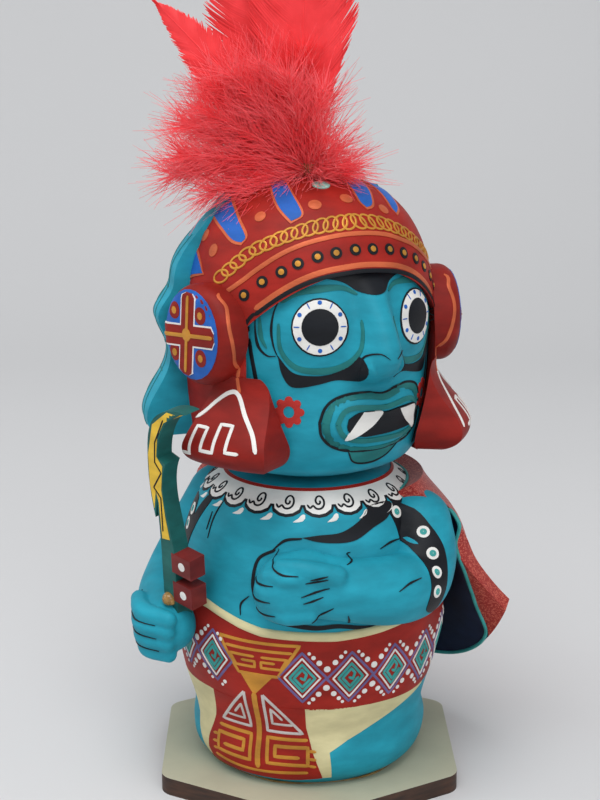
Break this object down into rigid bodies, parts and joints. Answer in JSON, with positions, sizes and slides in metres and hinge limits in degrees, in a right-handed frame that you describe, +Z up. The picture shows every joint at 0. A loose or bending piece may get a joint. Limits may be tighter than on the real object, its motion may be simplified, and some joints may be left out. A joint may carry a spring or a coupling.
{
  "type": "bobble-head folk figure",
  "caption": "Painted clay figure of a squat standing god on a six-sided board, with a spring-held nodding head, a cape, a sceptre and a feather plume.",
  "frame": {"origin": "centre of the base board's underside, on the figure's upright axis", "axes": "+Z up; the body faces -Y, and two flat edges of the six-sided board face -Y and +Y; +X is the figure's left"},
  "size_m": [0.1102, 0.1112, 0.2534],
  "materials": {
    "board_mdf": "white-faced thin fibreboard, satin top, laser-browned edge",
    "hot_glue": "clear amber glue",
    "clay_turquoise": "matt acrylic paint on clay",
    "cape_clay": "glittered red paint outside, navy inside",
    "sceptre_mdf": "thin fibreboard, matt yellow, green and dark red paint",
    "wood_peg": "bare turned wood",
    "spring_steel": "drawn wire",
    "pulp_turquoise": "matt acrylic paint on paper pulp",
    "pulp_red": "matt acrylic paint on paper pulp",
    "feather": "dyed feather"
  },
  "bodies": {
    "figure": {"base_board": "board_mdf", "base_glue": "hot_glue", "torso_shell": "clay_turquoise", "right_arm": "clay_turquoise", "left_arm": "clay_turquoise", "cape": "cape_clay", "sceptre": "sceptre_mdf", "sceptre_glue": "hot_glue", "neck_plug": "wood_peg"},
    "neck_spring": {"neck_spring": "spring_steel"},
    "crown_dowel": {"crown_dowel": "wood_peg"},
    "head": {"head_shell": "pulp_turquoise", "helmet": "pulp_red", "cheek_flap_right": "pulp_red", "cheek_flap_left": "pulp_red", "ear_disc_right": "pulp_red", "ear_disc_left": "pulp_red", "hair_back": "pulp_turquoise", "plume_plug": "hot_glue", "feather_tall": "feather", "feather_side": "feather", "feather_middle": "feather", "down_front_right": "feather", "down_front_left": "feather", "down_back_right": "feather", "down_back_left": "feather"}
  },
  "joints": [
    {"name": "head_sway", "type": "hinge", "parent": "figure", "child": "neck_spring", "pos_m": [0, 0, 0.11115], "axis": [0, 1, 0], "range_deg": [-4, 4], "stiffness_Nm_per_rad": 0.6, "deforming": ["neck_spring"]},
    {"name": "head_nod", "type": "hinge", "parent": "neck_spring", "child": "crown_dowel", "pos_m": [0, 0, 0.11115], "axis": [1, 0, 0], "range_deg": [-4, 4], "stiffness_Nm_per_rad": 0.6, "deforming": ["neck_spring"]},
    {"name": "head_turn", "type": "hinge", "parent": "crown_dowel", "child": "head", "pos_m": [0, 0, 0.11115], "axis": [0, 0, 1], "range_deg": [-60, 10]}
  ]
}
